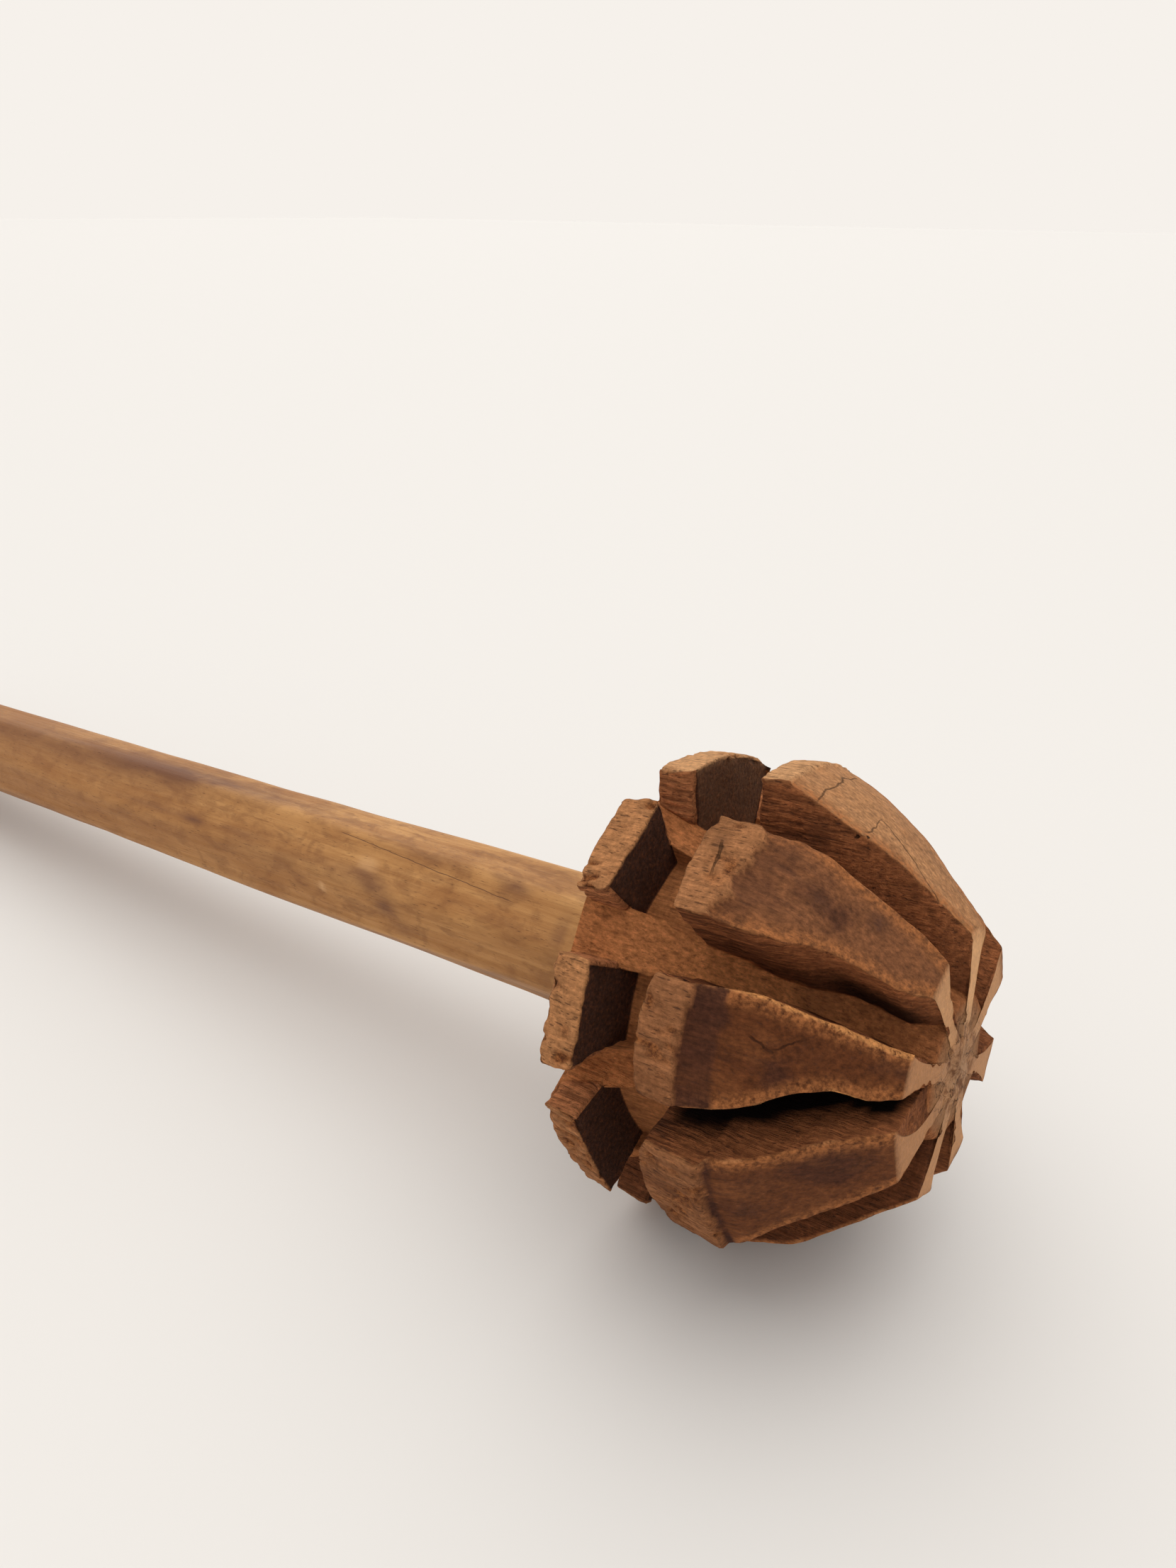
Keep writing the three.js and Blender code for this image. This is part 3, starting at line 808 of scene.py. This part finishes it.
# The facets: brown to pale by their tone, which is partly bleached wood and partly painted light, with
# darker blotches, an orange rim along the edges that is a painted highlight, and the plum-dark swells,
# which on the fourth lobe are painted shadow of the step's riser
blotched = times(tree, remapped(tree, blotch, 0.5, 0.62, 0, 0.7), remapped(tree, bleach_and_light_tone, 0.6, 1.0, 1.0, 0.4))
facets = layered(
    tree, BROWN,
    (remapped(tree, bleach_and_light_tone, 0.0, 0.5), PALE),
    (remapped(tree, bleach_and_light_tone, 0.5, 1.0), BLEACHED_AND_LIT),
    (blotched, PLUM),
    (remapped(tree, rings, 0.5, 0.7, 0, 0.2), ORANGE),
    (times(tree, rim_highlight_mask, remapped(tree, grit, 0.32, 0.56, 0, 0.9)), ORANGE),
    (times(tree, plum_and_riser_shade_mask, remapped(tree, rings, 0.3, 0.65, 1.0, 0.6)), PLUM),
)

# The rear bands: tan to chalky by the same tone, partly bleached and partly painted light, and crumbled
# where they are torn
bands = layered(
    tree, TAN,
    (remapped(tree, blotch, 0.48, 0.64, 0, 0.55), BROWN),
    (remapped(tree, bleach_and_light_tone, 0.3, 0.85), OCHRE),
    (remapped(tree, bleach_and_light_tone, 0.85, 1.0), CHALKY),
)
crumbs = mixed(tree, remapped(tree, grit, 0.4, 0.56), EARTH_AND_SHADE, ORANGE)

# The walls and floors: orange wood streaked along the grain, and torn on the blocks. Painted shade darkens
# the walls towards their feet and the fifth lobe's walls under the fourth, and the floors are darker
# towards the nose and the rear.
streaky = times(
    tree, remapped(tree, lines, 0.4, 0.56, 1.0, 0), remapped(tree, along_head, 18.0, 32.0, 1.1, 0.45)
)
torn_walls = mixed(tree, remapped(tree, lines, 0.38, 0.56, 0.5, 0), TORN, EARTH_AND_SHADE)
walls = layered(
    tree, WALL,
    (streaky, EARTH_AND_SHADE),
    # Painted shade, darker towards the feet of the walls
    (remapped(tree, down_wall, 0.35, 0.95, 0.0, 0.6), EARTH_AND_SHADE),
    (remapped(tree, along_head, 9.0, 5.0), torn_walls),
    # Painted shade on the fifth lobe's walls, under the fourth
    (times(tree, shade_mask, 0.8), EARTH_AND_SHADE),
)
nosewards = remapped(tree, along_head, 26.0, 37.0, 0.0, 0.55)
rearwards = remapped(tree, along_head, 19.0, 11.0, 0.0, 0.25)
floors = layered(
    tree, FLOOR,
    (worked(tree, "ADD", nosewards, rearwards), EARTH_AND_SHADE),
    (remapped(tree, lines, 0.36, 0.52, 0.35, 0), EARTH_AND_SHADE),
)
end_grain_colour = mixed(tree, remapped(tree, cloudy(tree, place, 1.7, 5.0, 0.75), 0.48, 0.66), END, EARTH_AND_SHADE)

# The nose: pale spokes round a hub that is greyed and smudged with brown. The spokes follow their lobe's
# tone, so they are partly painted light too.
spokes = mixed(tree, remapped(tree, bleach_and_light_tone, 0.1, 0.9), DULL, NOSE)
uneven = worked(tree, "ADD", out_from_middle, times(tree, blotch, 14.0))
smudged = times(
    tree,
    remapped(tree, out_from_middle, 4.5, 9.5, 0.75, 0.05),
    remapped(tree, cloudy(tree, place, 0.5, 5.0, 0.7), 0.47, 0.6),
)
nose_colour = layered(tree, GREYED, (remapped(tree, uneven, 9.0, 16.0), spokes), (smudged, BROWN))

colour = layered(
    tree, facets,
    (band_mask, bands),
    (times(tree, torn_mask, 1.2), crumbs),
    (wall_mask, walls),
    (floor_mask, floors),
    (end_mask, end_grain_colour),
    (nose_mask, nose_colour),
    (times(tree, edge_mask, remapped(tree, grit, 0.38, 0.55, 0.0, 0.7)), RUBBED),
    (times(tree, fresh_and_highlight_mask, remapped(tree, grit, 0.36, 0.5)), FRESH_AND_HIGHLIGHT),
    (times(tree, patch_mask, remapped(tree, grit, 0.4, 0.56, 0.3, 1.0)), END),
)

# Over all of it go the fibres, which are weaker on the nose, then open pores, cracks, and the near-black
# painted shade of the deep channel and the undercut
streaks = times(tree, remapped(tree, fibre, 0.28, 0.72, 0.6, 1.4), remapped(tree, grit, 0.3, 0.7, 0.7, 1.3))
streaks_grey = add(tree, "ShaderNodeCombineColor", {0: streaks, 1: streaks, 2: streaks}).outputs[0]
colour = mixed(tree, remapped(tree, nose_mask, 0, 1, 1.0, 0.35), colour, streaks_grey, "MULTIPLY")
coarse = worked(tree, "SUBTRACT", worked(tree, "ADD", band_mask, wall_mask), nose_mask)
pits = times(tree, remapped(tree, pores, 0.31, 0.39, 0.8, 0.0), remapped(tree, coarse, -1, 1, 0.0, 0.8))
colour = layered(tree, colour, (pits, END), (times(tree, opened, 0.9), CRACK_AND_SHADE_BLACK), (painted_shade_mask, CRACK_AND_SHADE_BLACK))
tree.links.new(colour, shader.inputs["Base Color"])

# The nose is worn smoothest, and the walls, the floors and the sawn ends are the roughest
rough = worked(tree, "MAXIMUM", wall_mask, worked(tree, "ADD", floor_mask, end_mask))
rough = worked(tree, "MAXIMUM", rough, times(tree, band_mask, 0.8))
dullness = remapped(tree, worked(tree, "SUBTRACT", nose_mask, rough), -1.0, 1.0, 0.92, 0.6)
dullness = worked(tree, "ADD", dullness, remapped(tree, fibre, 0.3, 0.7, -0.06, 0.06))
tree.links.new(dullness, shader.inputs["Roughness"])
height = worked(tree, "ADD", times(tree, fibre, 0.6), times(tree, grit, 0.4))
for mark, lift in ((lines, times(tree, wall_mask, 1.4)), (pits, -0.25), (opened, -0.8)):
    height = worked(tree, "ADD", height, times(tree, mark, lift))
bumped(tree, shader, height, strength=remapped(tree, rough, 0.0, 1.0, 0.5, 1.0), distance=0.0014)
shader.inputs["Specular IOR Level"].default_value = 0.08

head.data.materials.append(head_wood)
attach(head, "root")
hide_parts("head")

# The shaft is a straight stick of pale, close-grained wood, whittled to eight soft facets and worn smooth
# by the palms that rolled it. Its end is turned down to a round tenon, and a saw kerf in that takes the
# fox wedge.
SHAFT_LENGTH, SHAFT_REACH, SHAFT_FLATS, SHOULDER, BUTT_CHAMFER = 286.0, 10.4, 8, -0.3, 2.0
BUTT, TENON_RADIUS, TENON_END, TENON_CHAMFER = -SHAFT_LENGTH, 8.0, 28.7, 0.6
KERF_START, KERF_END, KERF_THIN, KERF_THICK, KERF_WIDTH = 11.4, 29.6, 1.6, 4.2, 20.0
BAR_ROWS, STICK_COLUMNS = 240, 112

# The power of the cosine that rounds the ridges, how far each flat's noise is from the next one's, how
# much the flats are pared down on the whole, and how much the stick thins by its butt. A flat also
# wanders a little nearer and further and turns a little as it runs along.
FLATNESS, FLAT_SPACING, PARED, THINNING = 34, 3.0, 0.265, 0.35
FLAT_WANDER = (((46, 1, 1), 31, 0.55), ((13, 1, 1), 32, 0.22))
FLAT_TURNING = ((60, 1, 1), 33, 0.22)

# The sawn butt, as places along the axis and shares of the reach, and the shoulder and tenon, as places
# and radii
BUTT_PROFILE = np.array((
    (BUTT, 0.0), (BUTT, 0.35), (BUTT, 0.7), (BUTT, 1 - BUTT_CHAMFER / SHAFT_REACH), (BUTT + 0.9, 0.925),
))
TENON_PROFILE = np.array((
    (SHOULDER, 9.2), (SHOULDER, TENON_RADIUS), (10.0, TENON_RADIUS), (20.0, TENON_RADIUS),
    (TENON_END - TENON_CHAMFER, TENON_RADIUS), (TENON_END, TENON_RADIUS - TENON_CHAMFER), (TENON_END, 0.0),
))


def flat_shares(s, angle):
    """How much each of the eight flats counts in each direction: a high power of the cosine over its
    reach."""
    flat = np.arange(SHAFT_FLATS)
    place = points_of(s, flat * FLAT_SPACING, 0.0)
    thinned = THINNING * np.clip(-s / SHAFT_LENGTH, 0, 1)
    reach = SHAFT_REACH - PARED - unevenness(place, *FLAT_WANDER) - thinned
    turn = flat * 2 * np.pi / SHAFT_FLATS + unevenness(place, FLAT_TURNING)
    facing = np.maximum(np.cos(angle[None, :, None] - turn[:, None, :]), 0) / reach[:, None, :]
    return facing**FLATNESS


bar = np.linspace(BUTT + BUTT_CHAMFER, SHOULDER, BAR_ROWS)
along = np.concatenate([BUTT_PROFILE[:, 0], bar, TENON_PROFILE[:, 0]])[:, None]
angle = np.arange(STICK_COLUMNS) * 2 * np.pi / STICK_COLUMNS
shares = flat_shares(along, angle)
radius = shares.sum(-1) ** (-1 / FLATNESS)
radius[: len(BUTT_PROFILE)] *= BUTT_PROFILE[:, 1:]
radius[-len(TENON_PROFILE) :] = TENON_PROFILE[:, 1:]
shaft = grid_mesh("whittled_shaft", points_of(along, *turned(angle, radius)), along_axis)

# Stains and knots: place along, turn from the top, half length, half width in degrees, and strength
STAINS = [
    (-54.5, 65, 3.6, 7, 1.0), (-51, 82, 2.4, 9, 1.1), (-47, 99, 2.2, 7, 0.6), (-58, 56, 4, 4, 0.7),
    (-62, 62, 9, 7, 0.4), (-104, 61, 3.5, 4, 1.0), (-118, 61, 9, 4, 0.5), (-90, 58, 6, 5, 0.5),
    (-152, 22, 17, 22, 0.6), (-127, 20, 14, 20, 0.85), (-111, 15, 10, 16, 0.9), (-97, 10, 10, 13, 0.8),
    (-84, 8, 8, 8, 0.5), (-178, 30, 16, 20, 0.5), (-26, 26, 2.6, 5, 1.0), (-30, 21, 2, 3, 0.8),
    (-22, 17, 2, 2, 0.6), (-46, 24, 7, 6, 0.4), (-15, 50, 1, 16, 0.7), (-9, 38, 1.2, 9, 0.6),
    (-84, 70, 10, 7, 0.4), (-205, 60, 30, 12, 0.5), (-230, 150, 26, 14, 0.6), (-90, 190, 20, 12, 0.6),
    (-160, 250, 24, 10, 0.6), (-60, 300, 12, 10, 0.5), (-240, 300, 16, 12, 0.5),
]
KNOTS = [(-66.8, 84, 1.0, 4.5, 0.9), (-57.0, 48, 2.4, 8, 0.6), (-190, 215, 4, 12, 0.7)]

# How dark each flat is, from the top one round: partly browned by the palms and partly painted shade, with
# the top flat lightest and the flats on the camera's side darker
FLAT_BROWNING_AND_SHADE = np.array((0.0, 0.5, 0.85, 0.6, 0.4, 0.7, 0.3, 0.5))


def spots(table, sharpness):
    """A mask of soft ovals on the stick: each falls off as exp(-d^2) from its middle, or as a higher
    power where it is sharper, and strengths add up."""
    total = np.zeros(radius.shape)
    for s, middle, length, width, strength in table:
        aside = (np.degrees(angle) - middle + 180) % 360 - 180
        total += strength * np.exp(-((((along - s) / length) ** 2 + (aside / width) ** 2) ** sharpness))
    return np.clip(total, 0, 1)


sawn_end = (along < BUTT + 0.5) * np.ones(radius.shape)
counted = shares / shares.sum(-1, keepdims=True)
ridges = np.clip(2 * (1 - (counted**2).sum(-1)), 0, 1)
paint(shaft.data, "mark", spots(STAINS, 1.0), spots(KNOTS, 2.0), sawn_end)
paint(shaft.data, "flats", (counted * FLAT_BROWNING_AND_SHADE).sum(-1), ridges)

# The saw kerf is cut with a wedge-shaped block, thin inside the tenon and thick at its end
cutter_corners = np.array([
    (s, across * KERF_WIDTH / 2, up * thick / 2)
    for s, thick in ((KERF_START, KERF_THIN), (KERF_END, KERF_THICK))
    for across in (-1, 1)
    for up in (-1, 1)
])
CUTTER_FACES = [(0, 1, 3, 2), (4, 6, 7, 5), (0, 4, 5, 1), (2, 3, 7, 6), (0, 2, 6, 4), (1, 5, 7, 3)]
cutter_mesh = bpy.data.meshes.new("kerf")
cutter_mesh.from_pydata(along_axis(cutter_corners).tolist(), [], CUTTER_FACES)
cutter = bpy.data.objects.new("kerf", cutter_mesh)
bpy.context.scene.collection.objects.link(cutter)
kerf = shaft.modifiers.new("kerf", "BOOLEAN")
kerf.operation, kerf.solver, kerf.object = "DIFFERENCE", "EXACT", cutter
kerfed = bpy.data.meshes.new_from_object(shaft.evaluated_get(bpy.context.evaluated_depsgraph_get()))
shaft.modifiers.clear()
shaft.data = kerfed
bpy.data.objects.remove(cutter)

shaft_wood, tree, shader = material("shaft_wood")
place = carver_coordinates(tree)
streak = grainy(tree, place, 0.022, 1.1, 5.0, 0.6, 0.3)
fine = grainy(tree, place, 0.05, 4.0, 4.0, 0.6)
mottle = grainy(tree, place, 0.35, 0.12, 6.0, 0.62, 0.5)
pores = grainy(tree, place, 0.12, 5.0, 2.0, 0.5)
handled = grainy(tree, place, 0.55, 0.3, 5.0, 0.6, 0.6)
stain_mask, knot_mask, butt_mask = masks(tree, "mark")
flat_browning_and_shade, ridge_mask, _ = masks(tree, "flats")
HONEY, AMBER, UMBER, KNOT = (0.62, 0.33, 0.12), (0.31, 0.13, 0.04), (0.08, 0.03, 0.016), (0.62, 0.35, 0.16)
STAIN, BROWNED = (0.165, 0.068, 0.034), (0.19, 0.075, 0.028)

# The flats are browned unevenly, partly by the palms and partly as painted shade on the camera's side, and
# the ridges are rubbed pale. A drying crack runs along by the head, and the butt shows its growth rings: a
# sine of the distance from the axis.
along_shaft = add(tree, "ShaderNodeSeparateXYZ", {0: place}).outputs[0]
stained = times(tree, stain_mask, remapped(tree, mottle, 0.34, 0.54, 0.6, 1.0))
crack = grooved(tree, place, 32.0, (-66.0, -1.2), (-25.0, 1.3), 0.06, 0.15)
around = worked(tree, "ADD", from_axis(tree, place), times(tree, cloudy(tree, place, 0.12, 2.0, 0.5), 4.0))
growth = worked(tree, "SINE", times(tree, around, 8.0))
colour = layered(
    tree, HONEY,
    (remapped(tree, streak, 0.3, 0.75, 0, 0.75), AMBER),
    (remapped(tree, mottle, 0.42, 0.62, 0, 0.75), AMBER),
    # Painted shade on the flats of the camera's side, with their browning by the palms
    (times(tree, flat_browning_and_shade, 0.5), AMBER),
    (remapped(tree, handled, 0.48, 0.62, 0, 0.45), BROWNED),
    (times(tree, ridge_mask, remapped(tree, mottle, 0.4, 0.6, 0.4, 0.1)), HONEY),
    (remapped(tree, along_shaft, -70.0, -160.0, 0.0, 0.45), AMBER),
    (knot_mask, KNOT),
    (times(tree, stained, 0.95), STAIN),
    (remapped(tree, fine, 0.55, 0.75, 0, 0.35), UMBER),
    (remapped(tree, pores, 0.27, 0.36, 0.6, 0), UMBER),
    (times(tree, crack, 0.85), UMBER),
    (butt_mask, mixed(tree, remapped(tree, growth, -1.0, 1.0, 0.1, 0.5), AMBER, UMBER)),
)
tree.links.new(colour, shader.inputs["Base Color"])
tree.links.new(remapped(tree, streak, 0.3, 0.7, 0.42, 0.56), shader.inputs["Roughness"])
height = worked(tree, "SUBTRACT", times(tree, fine, 0.5), times(tree, crack, 1.5))
bumped(tree, shader, height, strength=0.35, distance=0.0004)
shader.inputs["Specular IOR Level"].default_value = 0.15

shaft.data.materials.clear()
shaft.data.materials.append(shaft_wood)
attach(shaft, "root")
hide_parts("shaft")

# The fox wedge is a split sliver of the shaft's own wood. Driven against the bottom of the socket, it
# spreads the tenon, so nothing of it shows. Its CAD solid stays and is given a split-wood finish.
wedge_wood, tree, shader = material("wedge_wood")
split = grainy(tree, carver_coordinates(tree), 0.05, 1.5, 5.0, 0.65)
SPLIT_PALE, SPLIT_BROWN = (0.5, 0.28, 0.13), (0.3, 0.14, 0.06)
colour = mixed(tree, remapped(tree, split, 0.3, 0.7), SPLIT_PALE, SPLIT_BROWN)
tree.links.new(colour, shader.inputs["Base Color"])
bumped(tree, shader, split, strength=0.6, distance=0.0004)
shader.inputs["Roughness"].default_value = 0.8
wedge = frame["nodes"]["wedge"]
for slot in wedge.material_slots:
    slot.material = wedge_wood

# The churner lies on a plain table top, painted or papered in a pale and slightly warm grey, with a dull
# surface. It's one flat sheet, which reaches far past the edges of the picture.
TABLE_HALF, TABLE_COLOUR, TABLE_ROUGHNESS = 9.0, (0.74, 0.725, 0.71, 1), 0.6
table_corners = [(x * TABLE_HALF, y * TABLE_HALF, 0) for x, y in ((-1, -1), (1, -1), (1, 1), (-1, 1))]
table_mesh = bpy.data.meshes.new("table")
table_mesh.from_pydata(table_corners, [], [(0, 1, 2, 3)])
table = bpy.data.objects.new("table", table_mesh)
bpy.context.scene.collection.objects.link(table)
pale_table, _, shader = material("pale_table")
shader.inputs["Base Color"].default_value = TABLE_COLOUR
shader.inputs["Roughness"].default_value = TABLE_ROUGHNESS
table_mesh.materials.append(pale_table)

# The room is bright and even, whitest near the horizon and overhead, and a little greyer between. One
# broad, soft and slightly warm light comes from above, a little from behind the churner.
HORIZON, HALFWAY, OVERHEAD = (0.922, 0.88, 0.831), (0.61, 0.595, 0.575), (0.9, 0.88, 0.85)
world = bpy.data.worlds.new("room")
world.use_nodes = True
tree = world.node_tree
generated = add(tree, "ShaderNodeTexCoord").outputs["Generated"]
upwards = add(tree, "ShaderNodeSeparateXYZ", {0: generated}).outputs[2]
backdrop = layered(
    tree, HORIZON,
    (remapped(tree, upwards, 0.14, 0.4), HALFWAY),
    (remapped(tree, upwards, 0.4, 0.9), OVERHEAD),
)
tree.links.new(backdrop, tree.nodes["Background"].inputs["Color"])
bpy.context.scene.world = world

KEY_DIRECTION = (0.24, -0.32, -0.92)
key_data = bpy.data.lights.new("key", "SUN")
key_data.angle = np.radians(95)
key_data.energy = 1.4
key_data.color = (1.0, 0.97, 0.92)
key = bpy.data.objects.new("key", key_data)
bpy.context.scene.collection.objects.link(key)
key.rotation_mode = "QUATERNION"
key.rotation_quaternion = Vector(KEY_DIRECTION).to_track_quat("-Z", "Y")
bpy.context.scene.view_settings.view_transform = "Standard"
